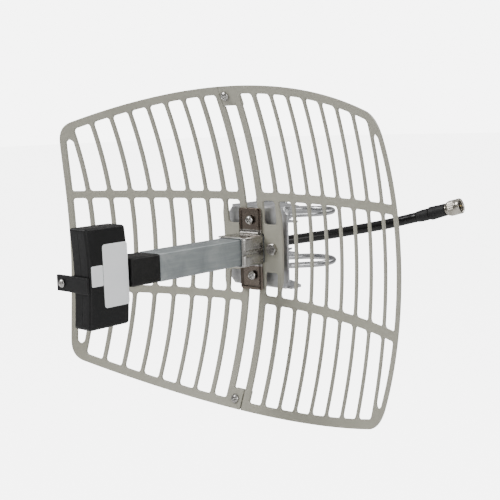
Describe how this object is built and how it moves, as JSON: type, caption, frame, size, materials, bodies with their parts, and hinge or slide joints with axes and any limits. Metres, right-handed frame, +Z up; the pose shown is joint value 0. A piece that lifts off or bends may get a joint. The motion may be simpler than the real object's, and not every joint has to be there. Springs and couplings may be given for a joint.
{
  "type": "grid dish antenna",
  "caption": "Slotted parabolic reflector in two castings, with a feed on an arm, a swivel bracket, U-bolt mast clamp and a short cable with a threaded connector.",
  "frame": {"origin": "on the axis of the mast that the U-bolts grip, level with the dish axis", "axes": "+Z up along the mast, -Y the way the dish looks at rest, +X to the dish's right seen from the front"},
  "size_m": [0.4, 0.3342, 0.2968],
  "materials": {
    "cast_paint": "semi-gloss grey-beige paint on a die casting",
    "arm_aluminium": "brushed mill finish",
    "black_plastic": "satin moulded",
    "zinc_sheet": "clear zinc plated sheet",
    "zinc_hardware": "bright zinc plated",
    "clamp_steel": "pressed plated steel",
    "stainless_hardware": "bright stainless",
    "cable_jacket": "smooth black jacket",
    "cable_rubber": "dull heat-shrink",
    "label_film": "blank silver-white film",
    "circuit_board": "solder mask",
    "nickel": "nickel plated",
    "brass": "gold plated brass"
  },
  "bodies": {
    "mast_mount": {"mast_bracket": "zinc_sheet", "mast_saddle": "zinc_sheet", "pivot_bolt_bottom": "zinc_hardware", "pivot_bolt_top": "zinc_hardware", "pivot_nut_bottom": "zinc_hardware", "pivot_nut_top": "zinc_hardware", "u_bolt_lower": "zinc_hardware", "u_bolt_upper": "zinc_hardware", "u_nut_lower_left": "zinc_hardware", "u_nut_lower_right": "zinc_hardware", "u_nut_upper_left": "zinc_hardware", "u_nut_upper_right": "zinc_hardware", "u_washer_lower_left": "zinc_hardware", "u_washer_lower_right": "zinc_hardware", "u_washer_upper_left": "zinc_hardware", "u_washer_upper_right": "zinc_hardware"},
    "coupling": {"coupling_nut": "nickel"},
    "dish": {"arm_clamp_left": "clamp_steel", "arm_clamp_right": "clamp_steel", "boot_sleeve": "cable_rubber", "cable_grommet": "cable_rubber", "clamp_nut_lower": "stainless_hardware", "clamp_nut_upper": "stainless_hardware", "clamp_screw_lower": "stainless_hardware", "clamp_screw_upper": "stainless_hardware", "connector_body": "nickel", "contact_pin": "brass", "dipole_board": "circuit_board", "dish_bracket": "zinc_sheet", "feed_arm": "arm_aluminium", "feed_shell_left": "black_plastic", "feed_shell_right": "black_plastic", "feed_sleeve": "black_plastic", "housing_nut": "stainless_hardware", "housing_screw": "stainless_hardware", "housing_strap": "black_plastic", "inner_coax": "cable_jacket", "label_large": "label_film", "label_small": "label_film", "lap_nut_bottom": "stainless_hardware", "lap_nut_top": "stainless_hardware", "lap_screw_bottom": "stainless_hardware", "lap_screw_top": "stainless_hardware", "pigtail_cable": "cable_jacket", "plate_bolt_left": "stainless_hardware", "plate_bolt_right": "stainless_hardware", "plate_nut_left": "stainless_hardware", "plate_nut_right": "stainless_hardware", "plate_washer_left": "stainless_hardware", "plate_washer_right": "stainless_hardware", "reflector_left": "cast_paint", "reflector_right": "cast_paint", "shrink_tube": "cable_rubber", "sub_reflector": "arm_aluminium"}
  },
  "joints": [
    {"name": "swivel", "type": "hinge", "parent": "mast_mount", "child": "dish", "pos_m": [-0.01073, -0.05013, 0], "axis": [0, 0, 1], "range_deg": [-40, 20]},
    {"name": "coupling_nut_turn", "type": "hinge", "parent": "dish", "child": "coupling", "pos_m": [0.1581, 0.01708, 0.03254], "axis": [0.9599, 0.1, 0.262], "continuous": true}
  ]
}
